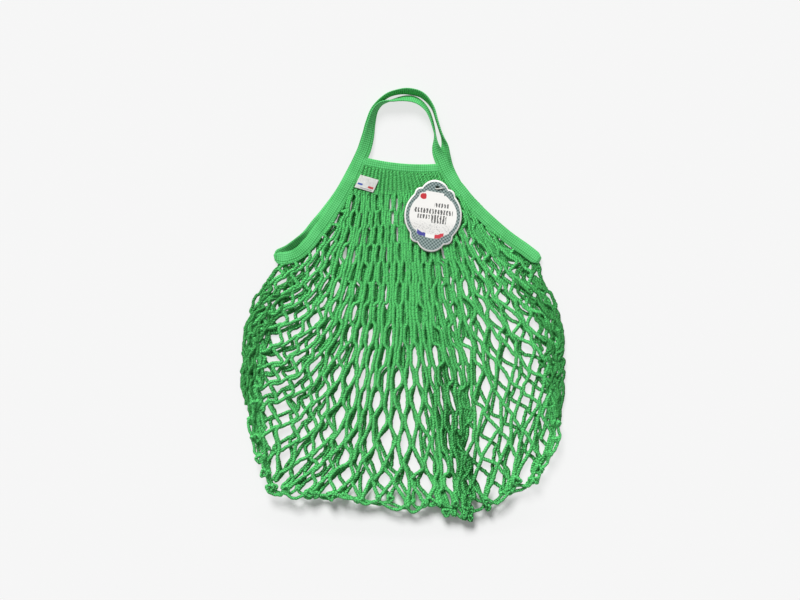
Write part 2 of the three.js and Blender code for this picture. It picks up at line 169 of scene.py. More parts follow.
def sheet_place(table, u, v):
    """Where column share u and row share v lie on a sheet given by a table of points, rows by columns. It is
    the sum over four rows and four columns of the row's weight times the column's weight times the point."""
    wide = np.concatenate([2 * table[:, :1] - table[:, 1:2], table, 2 * table[:, -1:] - table[:, -2:-1]], 1)
    full = np.concatenate([2 * wide[:1] - wide[1:2], wide, 2 * wide[-1:] - wide[-2:-1]])
    column, column_weights = cubic_weights(u, table.shape[1] - 1)
    row, row_weights = cubic_weights(v, table.shape[0] - 1)
    total = 0
    for i, row_weight in enumerate(row_weights):
        for j, column_weight in enumerate(column_weights):
            total = total + (row_weight * column_weight)[..., None] * full[row + i, column + j]
    return total


def noise(shape, seed, smooth=1):
    """Seeded random numbers, averaged with their neighbours along both axes smooth times, then scaled so that
    their spread is a half."""
    values = np.random.default_rng(seed).uniform(-1, 1, shape)
    for _ in range(smooth):
        for axis in (0, 1):
            values = (np.roll(values, 1, axis) + values + np.roll(values, -1, axis)) / 3
    return values * 0.5 / values.std()


def skin(name, points, uv, finish, nodes, wrap=False):
    """One piece from closed rings of points, shape (strands, rings, sides, 3), in millimetres. Neighbouring
    rings are joined by quads, and each strand's first and last rings are closed by a face, or by each other
    if wrap. uv has one column more than points, for the seam. Where the first strand's walls would face
    inwards, the rings are walked the other way round."""
    points = place(points)
    first = points[0]
    hop = np.roll(first, -1, 0) if wrap else first[1:]
    start = first[: len(hop)]
    wall = np.cross(np.roll(first, -1, 1)[: len(hop)] - start, hop - start)
    if (wall * (start - start.mean(1, keepdims=True))).sum() < 0:
        points, uv = points[:, :, ::-1], uv[:, :, ::-1]
    strands, rings, sides = points.shape[:3]
    index = np.arange(strands * rings * sides).reshape(strands, rings, sides)
    far = np.roll(index, -1, 1) if wrap else index[:, 1:]
    near = index if wrap else index[:, :-1]
    quads = np.stack([near, np.roll(near, -1, 2), np.roll(far, -1, 2), far], -1).reshape(-1, 4)
    far_uv = np.roll(uv, -1, 1) if wrap else uv[:, 1:]
    near_uv = uv if wrap else uv[:, :-1]
    corners = np.stack([near_uv[:, :, :-1], near_uv[:, :, 1:], far_uv[:, :, 1:], far_uv[:, :, :-1]], -2)
    caps = [] if wrap else [*index[:, 0, ::-1].tolist(), *index[:, -1].tolist()]
    mesh = bpy.data.meshes.new(name)
    mesh.from_pydata(points.reshape(-1, 3), [], quads.tolist() + caps)
    layer = mesh.uv_layers.new(name="strand")
    flat = np.concatenate([corners.reshape(-1), np.zeros(2 * sides * len(caps))])
    layer.data.foreach_set("uv", flat.astype(np.float32))
    mesh.polygons.foreach_set("use_smooth", np.arange(len(mesh.polygons)) < len(quads))
    mesh.materials.append(finish)
    mesh.validate()
    piece = bpy.data.objects.new(name, mesh)
    bpy.context.scene.collection.objects.link(piece)
    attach(piece, "root")
    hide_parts(*nodes)
    return piece


class Value:
    """A socket in a finish. Arithmetic on it adds the Math node that does the sum."""

    def __init__(self, finish, socket):
        self.finish = finish
        self.socket = socket

    def maths(self, operation, *others):
        sockets = dict(enumerate([self, *others]))
        return self.finish.node("ShaderNodeMath", sockets, operation=operation)

    def __add__(self, other):
        return self.maths("ADD", other)

    def __mul__(self, other):
        return self.maths("MULTIPLY", other)

    def __sub__(self, other):
        return self.maths("SUBTRACT", other)

    def __rsub__(self, other):
        return self.finish.node("ShaderNodeMath", {0: other, 1: self}, operation="SUBTRACT")

    def __truediv__(self, other):
        return self.maths("DIVIDE", other)

    def __pow__(self, other):
        return self.maths("POWER", other)

    __radd__ = __add__
    __rmul__ = __mul__

    def sin(self):
        return self.maths("SINE")

    def size(self):
        return self.maths("ABSOLUTE")

    def part(self):
        return self.maths("FRACT")

    def most(self, other):
        return self.maths("MAXIMUM", other)

    def ramp(self, low, high):
        """0 below low, 1 above high and a smooth step between them."""
        sockets = {"Value": self, "From Min": low, "From Max": high}
        return self.finish.node("ShaderNodeMapRange", sockets, interpolation_type="SMOOTHSTEP")


class Finish:
    """A material whose nodes are added one call at a time."""

    def __init__(self, name, **constants):
        self.material = bpy.data.materials.new(name)
        self.material.use_nodes = True
        self.tree = self.material.node_tree
        self.shader = self.tree.nodes["Principled BSDF"]
        for socket, value in constants.items():
            self.shader.inputs[socket.replace("_", " ")].default_value = value

    def node(self, kind, sockets=None, output=0, **settings):
        """Adds a node, with its settings first and then the values or links of its sockets."""
        node = self.tree.nodes.new(kind)
        for name, value in settings.items():
            setattr(node, name, value)
        for key, value in (sockets or {}).items():
            if isinstance(value, Value):
                self.tree.links.new(value.socket, node.inputs[key])
            else:
                node.inputs[key].default_value = value
        return Value(self, node.outputs[output])

    def spot(self):
        """Object coordinates, in metres."""
        return self.node("ShaderNodeTexCoord", output=3)

    def strand(self, axis, layer="strand"):
        """One axis of a UV map: across the strand or along it."""
        return self.node("ShaderNodeSeparateXYZ", {0: self.node("ShaderNodeUVMap", uv_map=layer)}, axis)

    def blend(self, share, low, high):
        """The colour low where share is 0 and high where it is 1."""
        sockets = {0: share, 6: low, 7: high}
        return self.node("ShaderNodeMix", sockets, 2, data_type="RGBA")

    def grain(self, place_on, scale, detail=2.0):
        """Noise of about 0 to 1, with scale lumps to the metre."""
        return self.node("ShaderNodeTexNoise", {"Vector": place_on, "Scale": scale, "Detail": detail})

    def wear(self, **sockets):
        """Links values to the shader's sockets."""
        for name, value in sockets.items():
            self.tree.links.new(value.socket, self.shader.inputs[name.replace("_", " ")])
        return self.material

    def relief(self, height, depth):
        """A bumped normal: height from 0 to 1 stands for depth metres."""
        return self.node("ShaderNodeBump", {"Height": height, "Distance": depth, "Strength": 1.0})


def rise(height, low, high):
    """A smooth step up the bag, 0 at the drawing's height low and 1 at high. It falls where high is lower."""
    return height.ramp(place([0, low, 0])[1], place([0, high, 0])[1])


def knit_finish(name, deep, bright, stitch_share):
    """Cotton chain stitches. Across the strand a V of two slanting loops, along it one V a stitch: the loops'
    height is the sine of stitches along plus distance from the strand's top line, lower at the strand's sides
    and between its two legs, with fine fibre noise. The colour follows that height, so the hollows are
    darker:
    painted shade. Strings are painted lighter the higher they lie off the floor, and painted shade darkens a
    slanting band down the pleat in the lower net. The colour is also a little lighter higher up the bag and
    darker towards the foot."""
    finish = Finish(name, Roughness=0.93, Specular_IOR_Level=0.12)
    spot = finish.spot()
    aside = ((finish.strand(0) * 2.0).part() - 0.5).size() * 2.0
    along = finish.strand(1)
    blotches = finish.grain(spot, 90.0)
    pulled = finish.grain(spot, 330.0)
    specks = finish.grain(spot, 800.0, 1.0).ramp(0.34, 0.60)
    loops = ((along + aside * 0.7 + pulled * 1.2) * np.pi).sin().size()
    legs = aside.ramp(1.15, 0.3) * (aside.ramp(0.0, 0.25) * 0.3 + 0.7)
    fibres = finish.grain(spot, 2600.0, 3.0)
    height = (loops * legs * stitch_share + fibres * (1 - stitch_share)).ramp(0.02, 0.75)
    x, y, z = (finish.node("ShaderNodeSeparateXYZ", {0: spot}, axis) for axis in range(3))
    # Colour a little lighter higher up the bag.
    tight = rise(y, 130, 300)
    # Painted shade: strings that lie low, near the floor, are darker than those high up.
    painted_light_off_floor = z.ramp(0.001, 0.0095)
    # Painted shade along a slanting band down the pleat in the lower net.
    beside = (x + (y - ORIGIN[1]) * PLEAT_SHADE_SLOPE - place([PLEAT_SHADE_FOOT, 0, 0])[0]).size()
    pleat_painted_shade = beside.ramp(0.024, 0.006) * rise(y, 210, 110)
    # Colour a little darker towards the foot.
    toward_foot = rise(y, 75, 20)
    painted_shade_and_tone = tight * 0.08 + painted_light_off_floor * 0.32 - pleat_painted_shade * 0.24 - toward_foot * 0.07
    # The loops' height feeds the colour too, so the hollows between loops are darker: painted shade.
    shade = (height * 0.54 + specks * 0.42 + pulled * 0.15 + blotches * 0.18 + painted_shade_and_tone).ramp(0.27, 1.27)
    colour = finish.blend(shade, deep, bright)
    return finish.wear(Base_Color=colour, Normal=finish.relief(height, STITCH_RELIEF))


def hump(share, at, wide):
    """A bell of height 1: e to minus the square of the distance from at over wide."""
    return np.exp(-(((share - at) / wide) ** 2))


def side_share(flat):
    """How far from the middle of the bag's width a point lies at its height: -1 and 1 are the two sides. Also
    that middle and the half width."""
    left = np.interp(flat[..., 1], LEFT_SIDE[:, 1], LEFT_SIDE[:, 0])
    right = np.interp(flat[..., 1], RIGHT_SIDE[:, 1], RIGHT_SIDE[:, 0])
    return (2 * flat[..., 0] - left - right) / (right - left), (left + right) / 2, (right - left) / 2


def fold_in(flat, lane):
    """Points of the net folded in at its sides. A share s of the half width stays s up to FOLD_SHARE. Past it
    the point comes back by as much, round a bend of FOLD_BEND, until it has come back by its string's own
    lane: from there the string runs down inside the fold. Above the corners nothing is folded, for the tape
    covers the edge."""
    share, middle, half = side_share(flat)
    reach = np.minimum(np.abs(share), FOLD_SHARE + lane)
    folded = FOLD_SHARE - np.sqrt((reach - FOLD_SHARE) ** 2 + FOLD_BEND**2)
    open_side = np.clip((CORNER_Y + 6 - flat[..., 1]) / 12, 0, 1)
    kept = np.minimum(np.abs(share), 1 + 5 / half)
    share = np.sign(share) * (folded * open_side + kept * (1 - open_side))
    return np.stack([middle + share * half, flat[..., 1]], -1)


def net_pairs(slip, seed):
    """The layer's paired stretches: their two ends, shape (pairs, rows, 2, 2), the direction across them and
    half their strings' spacing. Where the net hangs straight a pair follows its column. Where it fans out the
    pair turns towards the taut diagonal, one row down and half a cell outward. It is shorter where the net is
    drawn wide. Each is moved at random, more where the net lies slack: at the sides, low down and in the
    pleat."""
    u = (np.arange(STRINGS + 1) / STRINGS)[:, None] + np.zeros((1, ROWS))
    v = (np.arange(ROWS)[None, :] + 0.5 + np.zeros((STRINGS + 1, 1))) / ROWS
    u, v = slip(u, v)
    middle = sheet_place(NET_FALL, u, v)
    down = (sheet_place(NET_FALL, u, v + 0.02) - sheet_place(NET_FALL, u, v - 0.02)) / 0.04 / ROWS
    across = (sheet_place(NET_FALL, u + 0.5 / COLUMNS, v) - sheet_place(NET_FALL, u - 0.5 / COLUMNS, v))
    slant = np.arctan2(down[..., 0], -down[..., 1])
    fanned = np.clip((np.abs(slant) - 0.15) / 0.5, 0, 1)
    taut = down + np.sign(slant)[..., None] * 0.5 * across * (0.85 * fanned)[..., None]
    length = np.linalg.norm(taut, axis=-1)
    way = taut / length[..., None]
    pitch = np.linalg.norm(across, axis=-1)
    held = np.clip(1.15 - 0.045 * pitch, 0.28, 0.80)
    reach = length * (held * (1 - fanned) + 0.52 * fanned) / 2
    slack_side = 2.4 * np.clip(np.abs(2 * u - 1) - 0.3, 0, 1)
    loose = 1.3 + slack_side + 1.0 * v + 4.6 * hump(u, PLEAT_SHARE, PLEAT_WIDE) * v
    loose = loose + 2.8 * np.clip(v - 0.68, 0, 1) / 0.32 * (0.4 + u)
    stray = np.stack([noise(u.shape, seed, 0), noise(u.shape, seed + 1, 0)], -1)
    sway = np.stack([noise(u.shape, seed + 5, 4), noise(u.shape, seed + 6, 4)], -1)
    middle = middle + stray * loose[..., None]
    middle = middle + sway * (6.0 * v * (1.3 - v))[..., None]
    ends = middle[:, :, None] + np.stack([-way, way], 2) * reach[..., None, None]
    ends = ends + noise(ends.shape, seed + 4, 0) * loose[..., None, None] * 0.45
    half_spacing = np.minimum(STRING_WIDTH * 0.52, pitch * 0.17)
    return ends, np.stack([-way[..., 1], way[..., 0]], -1), half_spacing


def net_strings(base_z, slip, seed):
    """Middle lines of one layer's strings, shape (strings, points, 3). A string starts at the layer's top
    edge, passes both ends of one pair in each row, on its own side of the pair, and meets its last neighbour
    below. Once past the fold it runs down inside it for a few rows and ends there. Strings rise to the fold's
    height at the sides, heap in the pleat and lift at the foot."""
    string = np.arange(STRINGS)[:, None]
    row = np.arange(ROWS)[None, :]
    own = np.where((string + row) % 2 == 0, -1, 1)
    pair = string + (1 - own) // 2
    ends, beside, half = net_pairs(slip, seed)
    alone = ((pair == 0) | (pair == STRINGS))[..., None]
    offset = np.where(alone, 0, (beside * half[..., None])[pair, row] * own[..., None])
    flat = ends[pair, row] + offset[:, :, None]
    start = sheet_place(NET_FALL, (string[:, 0] + 0.5) / STRINGS, 0 * string[:, 0]) + np.array([0, 7.0])
    last = ends[pair[:, -1], -1]
    close = last[:, 1] + (last[:, 1] - last[:, 0]) * 0.3
    flat = np.concatenate([start[:, None], flat.reshape(STRINGS, -1, 2), close[:, None]], 1)

    share, _, half_width = side_share(flat)
    past = (np.abs(share) - 1) * half_width
    inside = past < np.where(flat[..., 1] > CORNER_Y, 4.0, GATHER * GATHER_REACH)
    steps = np.arange(flat.shape[1])[None, :]
    first = np.maximum(np.argmax(inside, 1) - 1, 0)[:, None]
    final = np.minimum(flat.shape[1] + 5 - np.argmax(inside[:, ::-1], 1), flat.shape[1] - 1)[:, None]
    lane = GATHER * (0.15 + 0.85 * np.random.default_rng(seed + 7).uniform(0, 1, STRINGS))[:, None]
    spread = 1 + 1.6 * np.clip((115 - flat[..., 1]) / 50, 0, 1)
    lane = lane * spread + 0.03 * noise(flat.shape[:2], seed + 8, 1)
    flat = np.take_along_axis(fold_in(flat, lane), np.clip(steps, first, final)[..., None], 1)

    edge = np.clip((np.abs(share) - 0.9) / 0.1, 0, 1)
    folded = np.clip((np.abs(share) - FOLD_SHARE) / 0.1, 0, 1)
    free = np.clip((CORNER_Y - flat[..., 1]) / 20, 0, 1)
    wave = np.sin(steps * 0.9 + 7 * lane * 40)
    lift = edge * ((FOLD_Z - base_z) * free - 1.3 * (1 - free)) + folded * free * 2.5 * wave
    lift = lift + FOOT_LIFT * np.clip((FOOT_Y - flat[..., 1]) / 40, 0, 1)
    pleat = hump((string + 0.5) / STRINGS, PLEAT_SHARE, PLEAT_WIDE) * steps / steps.max()
    heap = 0.8 + 3.6 * pleat
    lift = lift - 0.7 * base_z * pleat
    return np.concatenate([flat, (base_z + lift + heap * noise(share.shape, seed + 2, 0))[..., None]], -1)


def string_rings(lines, width, height):
    """Rings round each line. The chain's loops swell and slant the string: its radius follows the sine of
    stitches along plus distance round from the top, and each string starts at its own stitch."""
    lengths = arc_length(lines)
    way = np.gradient(lines, axis=1)
    way = way / np.maximum(np.linalg.norm(way, axis=2, keepdims=True), 1e-9)
    level = np.cross(way, [0, 0, 1])
    level = level / np.maximum(np.linalg.norm(level, axis=2, keepdims=True), 1e-9)
    up = np.cross(level, way)
    turn = np.linspace(0, 2 * np.pi, STRING_SIDES, endpoint=False)
    along = lengths[:, :, None] / STITCH + np.random.default_rng(4).uniform(0, 9, (len(lines), 1, 1))
    aside = np.abs((turn / np.pi) % 1 - 0.5) * 2
    swell = 1 + 0.14 * (np.abs(np.sin(np.pi * (along + 0.7 * aside))) - 0.6)
    sideways = level[:, :, None] * (np.cos(turn) / 2)[:, None] * width
    upright = up[:, :, None] * (np.sin(turn) * height / 2)[:, None]
    rings = lines[:, :, None] + swell[..., None] * (sideways + upright)
    seam = np.linspace(0, 1, STRING_SIDES + 1)
    return rings, np.stack(np.broadcast_arrays(seam, along), -1)


def drawn_width(lines):
    """A string's width at each ring: thin high up, where the net hangs tight, and thicker low down."""
    return STRING_WIDTH * np.interp(lines[..., 1], WIDTH_HEIGHTS, WIDTH_SHARES)[..., None, None]


def knit_lines(points, seed, kink=0.5):
    """Even lines through points: smoothed, then bent by kink millimetres of noise that changes with each
    ring, and kept off the floor."""
    lines = smooth_line(points, 8)
    lines = even_steps(lines, int(arc_length(lines).max() / RING_STEP))
    bend = np.stack([noise(lines.shape[:2], seed + i, 0) for i in range(3)], -1)
    for _ in range(2):
        bend = (np.roll(bend, 1, 1) + bend + np.roll(bend, -1, 1)) / 2.2
    lines = lines + kink * bend * np.array([1, 1, 0.6])
    return np.maximum(lines, np.array([-np.inf, -np.inf, STRING_HEIGHT * 0.62]))


def still(u, v):
    """The front layer lies as the table says."""
    return u, v


def slipped(u, v):
    """The back layer has slipped on the front one: by half a cell at the top, hardly at all in the middle, by
    near half a cell at the sides and a third of one more at the foot, with slow waves of about an eighth of a
    cell and a seventh of a row."""
    top = np.clip((0.50 - v) / 0.14, 0, 1)
    aside = np.clip((np.abs(2 * u - 1.02) - 0.42) / 0.25, 0, 1) * (1 - top)
    wave = 0.13 * np.sin(11 * u + 6 * v) * (1 - top)
    across = 0.5 * top + 0.06 * (1 - top) * (1 - aside) + 0.45 * aside + wave
    across = across + 0.35 * np.clip((v - 0.74) / 0.2, 0, 1)
    return u + across / COLUMNS, v + 0.15 * np.sin(7 * u - 5 * v + 1) / ROWS


LAYERS = (("net_front", FRONT_NET_Z, still, FRONT_SEED), ("net_back", BACK_NET_Z, slipped, BACK_SEED))
THIRD = STRINGS // 3
PARTS = (
    ("left", slice(0, THIRD)),
    ("middle", slice(THIRD, 2 * THIRD)),
    ("right", slice(2 * THIRD, STRINGS)),
)
net_cotton = knit_finish("green cotton string", GREEN_DEEP, GREEN_BRIGHT, 0.75)
for layer, base_z, slip, seed in LAYERS:
    lines = knit_lines(net_strings(base_z, slip, seed), seed + 9)
    for part, strings in PARTS:
        rings, uv = string_rings(lines[strings], drawn_width(lines[strings]), STRING_HEIGHT)
        skin(f"{layer}_{part}", rings, uv, net_cotton, [layer])

# ---- Side tangles ----
# Under each corner of the tape the folded net has slid together into a tangle, whose loose loops run on down
# the side. A tangle is given as (height, how deep it reaches inward from the side).
TANGLE_STRINGS = 9
TANGLE_POINTS = 30
TANGLE_TOP = 283
# The tangles' cotton is a darker copy of the net's green: painted shade for the fold's own shadow.
TANGLE_SHADED_DEEP = (0.003, 0.060, 0.008, 1)
TANGLE_SHADED_BRIGHT = (0.078, 0.450, 0.115, 1)
TANGLES = (
    ("left_tangle", LEFT_SIDE, 1, 71, [
        (284, 10), (272, 30), (250, 44), (228, 40), (205, 26), (180, 20), (150, 20), (120, 14), (90, 6),
    ]),
    ("right_tangle", RIGHT_SIDE, -1, 72, [
        (282, 10), (270, 34), (252, 32), (230, 28), (205, 26), (180, 28), (150, 24), (120, 14), (90, 6),
    ]),
)


def tangle_strings(side, inward, seed, depths):
    """Strings that wander down one side. Each keeps to its own share of the tangle's depth there, strays from
    it by noise of several millimetres, and doubles back a little, so the strings cross and loop. They crown
    half way in, where they lie highest."""
    fall = np.linspace(0, 1, TANGLE_POINTS)[None, :] + np.zeros((TANGLE_STRINGS, 1))
    run = np.random.default_rng(seed).uniform(0.62, 1, (TANGLE_STRINGS, 1))
    y = depths[0, 0] + (depths[-1, 0] - depths[0, 0]) * fall * run
    stray = noise(fall.shape, seed, 0)
    stray = (np.roll(stray, 1, 1) + stray + np.roll(stray, -1, 1)) / 1.8
    share = np.clip(np.linspace(0, 1, TANGLE_STRINGS)[:, None] ** 1.2 + 0.22 * stray, 0.0, 1.1)
    deep = np.interp(-y, -depths[:, 0], depths[:, 1])
    x = np.interp(y, side[:, 1], side[:, 0]) + inward * (1.6 + share * deep)
    y = y + 2.5 * noise(fall.shape, seed + 1, 0)
    crown = np.sin(np.pi * np.clip(share * 0.9 + 0.05, 0, 1))
    crown = crown * np.clip((272 - y) / 25, 0, 1) * np.clip(fall * 6, 0, 1)
    z = 3.9 + 4.2 * crown + 2.4 * noise(fall.shape, seed + 2, 0) * crown
    return np.stack([x, np.minimum(y, TANGLE_TOP), z], -1)


# The tangles wear the net's stitch finish in these darker colours: painted shade.
shaded_tangle_cotton = knit_finish("green cotton string, painted shade", TANGLE_SHADED_DEEP, TANGLE_SHADED_BRIGHT, 0.75)
for name, side, inward, seed, depths in TANGLES:
    lines = knit_lines(tangle_strings(side, inward, seed, np.array(depths, float)), seed)
    rings, uv = string_rings(lines, STRING_WIDTH, STRING_HEIGHT)
    skin(name, rings, uv, shaded_tangle_cotton, ["net_front"])

# ---- Hem ----
# Along the bottom a cotton string runs through the last loops of each layer, winds round each and hangs a
# little between them. At both corners it runs on up the bag's side and ends inside the tangle. A hem is
# given as (its layer's slip, its layer's seed, height, how far its corner paths move inward).
HEM_STEPS = 10
HEM_WOUND = 0.6
HEM_LOOPS = slice(14, 44, 2)
HEM_SEED = 5
HEMS = ((still, FRONT_SEED, 12.8, 0), (slipped, BACK_SEED, 9.4, 4))
LEFT_CORNER = np.array([(-164, 126), (-169, 108), (-165, 88), (-158, 66), (-152, 50), (-146, 34)], float)
RIGHT_CORNER = np.array([(146, 42), (153, 54), (162, 70), (169, 86), (171, 104), (165, 122)], float)


def hem_line(ends, height, seed):
    """A string that joins the layer's last ends, in HEM_STEPS points from one to the next. Over the first
    HEM_WOUND of them it winds twice round the end, in a circle whose size changes from end to end, and over
    the rest it sags to the next one."""
    steps = np.arange(HEM_STEPS * (len(ends) - 1) + 1) / HEM_STEPS
    end = steps.astype(int)
    share = np.clip((steps % 1 - HEM_WOUND) / (1 - HEM_WOUND), 0, 1)
    along = np.stack([np.interp(end + share, np.arange(len(ends)), ends[:, i]) for i in range(2)], 1)
    size = (1.2 + 4.0 * np.abs(noise((len(ends), 1), seed, 0)))[end]
    turn = (4 * np.pi * np.clip(steps % 1 / HEM_WOUND, 0, 1) + 5.0 * end)[:, None]
    knot = np.concatenate([0.8 * np.sin(turn), -0.3 - np.cos(turn), 0.6 * np.sin(turn * 0.5)], 1) * size
    slack = (0.4 + 2.0 * np.abs(noise((len(ends), 1), seed + 3, 0)))[end]
    sag = np.sin(np.pi * share)[:, None] * np.array([0, -4.0, -1.5]) * slack
    line = np.concatenate([along, height + 0 * turn], 1) + knot + sag
    return line + 0.9 * noise((len(steps), 3), seed + 1, 0)


hems = []
for slip, seed, height, inward in HEMS:
    ends = net_pairs(slip, seed)[0][HEM_LOOPS, -1, 1]
    corner = np.array([inward, 0])
    hems.append(hem_line(np.concatenate([LEFT_CORNER + corner, ends, RIGHT_CORNER - corner]), height, seed))
rings, uv = string_rings(knit_lines(np.array(hems), HEM_SEED, 0.6), STRING_WIDTH, STRING_HEIGHT)
skin("hem", rings, uv, net_cotton, ["net_back"])

# ---- Tape ----
# One long knitted cotton tape, bound over the net's sides and standing free as the two handles. It runs from
# the left corner over the front handle to the right corner, folds there, and comes back over the rear handle.
# Fine ribs run across it and along it, and one deeper stitch line runs beside its edge.
TAPE_DEEP = (0.022, 0.250, 0.040, 1)
TAPE_BRIGHT = (0.155, 0.690, 0.235, 1)
TAPE_RELIEF = 0.0003
TAPE_WIDTH = 14.0
TAPE_THICK = 2.2
TAPE_RIB = 2.3
TAPE_RING = 1.2
TAPE_GROOVES = (-3.6,)
TAPE_HEART = np.array([0, 285, 4])
GROOVE_DEPTH = 0.35
GROOVE_HALF = 0.45
FOLD_RADIUS = 2.5
END_ROUND = 5.0
TAPE_FRONT = np.array([
    (-138.5, 285, 6.3, 0), (-130, 284.5, 6.3, 0), (-116.5, 289, 6.3, 0), (-104, 300, 6.3, 0),
    (-93.5, 314, 6.3, 0), (-84.5, 326, 6.3, 0), (-66.7, 354, 6.3, 0), (-52.5, 380, 6.3, 0),
    (-46.5, 394, 6.6, 4), (-42, 404, 7.0, 14), (-38, 418, 7.4, 32), (-34.8, 433.5, 7.8, 52),
    (-30.8, 447, 7.6, 66), (-24.5, 454.5, 7.5, 78), (-17.5, 457.2, 7.5, 90), (-11, 458.2, 7.5, 101),
    (-3.3, 459.8, 7.5, 112), (4.5, 460.4, 7.5, 121), (12.4, 459.2, 7.5, 123), (20.2, 454.7, 7.5, 116),
    (27.0, 447.0, 7.5, 107), (31.2, 437.2, 7.5, 101), (34.0, 427, 7.5, 96), (35.3, 419.4, 7.5, 89),
    (35.6, 413.2, 7.5, 76), (36.2, 407, 7.3, 56), (38.5, 400, 6.8, 32), (42.5, 391, 6.5, 10),
    (47, 380.5, 6.3, 0), (54, 370, 6.3, 0), (63.6, 358.4, 6.3, 0), (74.5, 345, 6.3, 0),
    (87.5, 332, 6.3, 0), (100, 320.5, 6.3, 0), (112, 310.2, 6.3, 0), (123, 302, 6.3, 0),
    (134, 294.4, 6.3, 0), (148, 283.5, 6.3, 0),
])
TAPE_BACK = np.array([
    (-138.5, 287, 2.0, 8), (-128, 293, 5.5, 40), (-119, 300, 6.3, 50), (-106, 310, 5.5, 42),
    (-94, 323, 2.6, 15), (-84, 335, 1.3, 0), (-68.5, 356, 1.3, 0), (-54.5, 381, 1.3, 0),
    (-47.5, 395, 1.7, 4), (-43, 406, 3.0, 20), (-40.2, 420, 5.0, 48), (-37.8, 434, 6.9, 66),
    (-32, 449.5, 7.4, 74), (-19, 462.5, 7.4, 76), (-5.8, 467.4, 7.4, 74), (7.6, 468, 7.4, 66),
    (21.7, 463.5, 7.4, 70), (32.4, 451, 7.4, 82), (37.5, 435.5, 7.4, 87), (41, 424.5, 7.4, 88),
    (43.8, 416.5, 7.2, 82), (46, 407.5, 6.2, 58), (46.2, 397, 4.0, 30), (48, 387, 2.0, 8),
    (52, 377, 1.3, 0), (59, 363.5, 1.3, 0), (67, 344.8, 2.1, 6), (75.1, 323.5, 3.1, 15),
    (85.1, 306.7, 3.7, 20), (99.3, 294.2, 3.7, 20), (115, 288.7, 2.6, 10), (131, 286.5, 1.3, 0),
    (148, 283.5, 1.3, 0),
])


def tape_run(route, step):
    """Places along a route of (x, y, height, tilt): middles, directions across and directions out of the
    face. Across points away from the bag's middle, and tilt raises its outer edge by that many degrees."""
    line = smooth_line(route[None], 16)
    line = even_steps(line, int(arc_length(line[..., :2]).max() / step))[0]
    way = np.gradient(line[:, :2], axis=0)
    way = way / np.linalg.norm(way, axis=1, keepdims=True)
    tilt = np.radians(line[:, 3:4])
    outward = np.concatenate([-way[:, 1:], way[:, :1], 0 * tilt], 1)
    up = np.array([[0.0, 0.0, 1.0]])
    across = outward * np.cos(tilt) + up * np.sin(tilt)
    return line[:, :3], across, up * np.cos(tilt) - outward * np.sin(tilt)


def tape_fold(start, end, steps=9):
    """The half turn between the end of one run and the start of the other: the middle goes round a half
    circle of FOLD_RADIUS, away from TAPE_HEART, and the face turns with it."""
    turn = np.linspace(0, np.pi, steps + 2)[1:-1, None]
    share = turn / np.pi
    (middle_a, across_a, face_a), (middle_b, across_b, face_b) = start, end
    across = across_a * (1 - share) + across_b * share
    across = across / np.linalg.norm(across, axis=1, keepdims=True)
    out = np.cross(np.array([[0.0, 0.0, 1.0]]), across)
    out = out * np.sign((out * (middle_a + middle_b - 2 * TAPE_HEART)).sum())
    level = middle_a * (1 - share) + middle_b * share
    level[:, 2] = (middle_a[2] + middle_b[2]) / 2 + (middle_a[2] - middle_b[2]) / 2 * np.cos(turn[:, 0])
    face = np.array([[0, 0, 1.0]]) * np.cos(turn) + out * np.sin(turn)
    return level + out * np.sin(turn) * FOLD_RADIUS, across, face


def swept(middle, across, face, profile):
    """Rings of a profile of (across, out of the face) along a line, with UVs of millimetres across and
    along."""
    rings = middle[:, None] + across[:, None] * profile[:, :1] + face[:, None] * profile[:, 1:]
    along = arc_length(middle[None])[0][:, None]
    wide = np.concatenate([profile[:, 0], profile[:1, 0]])
    return rings[None], np.stack(np.broadcast_arrays(wide, along), -1)[None]


def tape_profile(width, thick, grooves, depth):
    """A flat band's outline: a softly rounded rectangle whose two faces dip by depth at each groove, a bell
    of GROOVE_HALF millimetres half width."""
    a = np.linspace(-0.5, 0.5, 41)
    top = thick / 2 * (1 - 0.75 * np.abs(2 * a) ** 9)
    for groove in grooves:
        top = top - depth * hump(a * width, groove, GROOVE_HALF)
    return np.concatenate([np.stack([a * width, top], 1), np.stack([a * width, -top], 1)[::-1]])


def tape_finish(name, grooves):
    """Knitted tape. The ribs across it are a sine of the length along it, those along it a sine of the
    distance across, and each stitch line is a bell at its place across. Sunk places are darker: painted
    shade."""
    finish = Finish(name, Roughness=0.9, Specular_IOR_Level=0.15)
    spot = finish.spot()
    across = finish.strand(0)
    along = finish.strand(1)
    ribs = (along * (2 * np.pi / TAPE_RIB)).sin() * 0.5 + 0.5
    courses = (across * (2 * np.pi / TAPE_RIB)).sin() * 0.5 + 0.5
    lines = 0.0
    for groove in grooves:
        lines = (across - groove).size().ramp(0.55, 0.0) + lines
    fibres = finish.grain(spot, 2400.0, 3.0)
    blotches = finish.grain(spot, 60.0)
    height = (ribs * 0.40 + courses * 0.34 + fibres * 0.26 - lines * 0.5).ramp(0.0, 0.9)
    # The relief's height feeds the colour, so sunk ribs and stitch lines are darker: painted shade.
    shade = (height * 0.46 + blotches * 0.50 + 0.08).ramp(0.0, 1.0)
    colour = finish.blend(shade, TAPE_DEEP, TAPE_BRIGHT)
    return finish.wear(Base_Color=colour, Normal=finish.relief(height, TAPE_RELIEF))


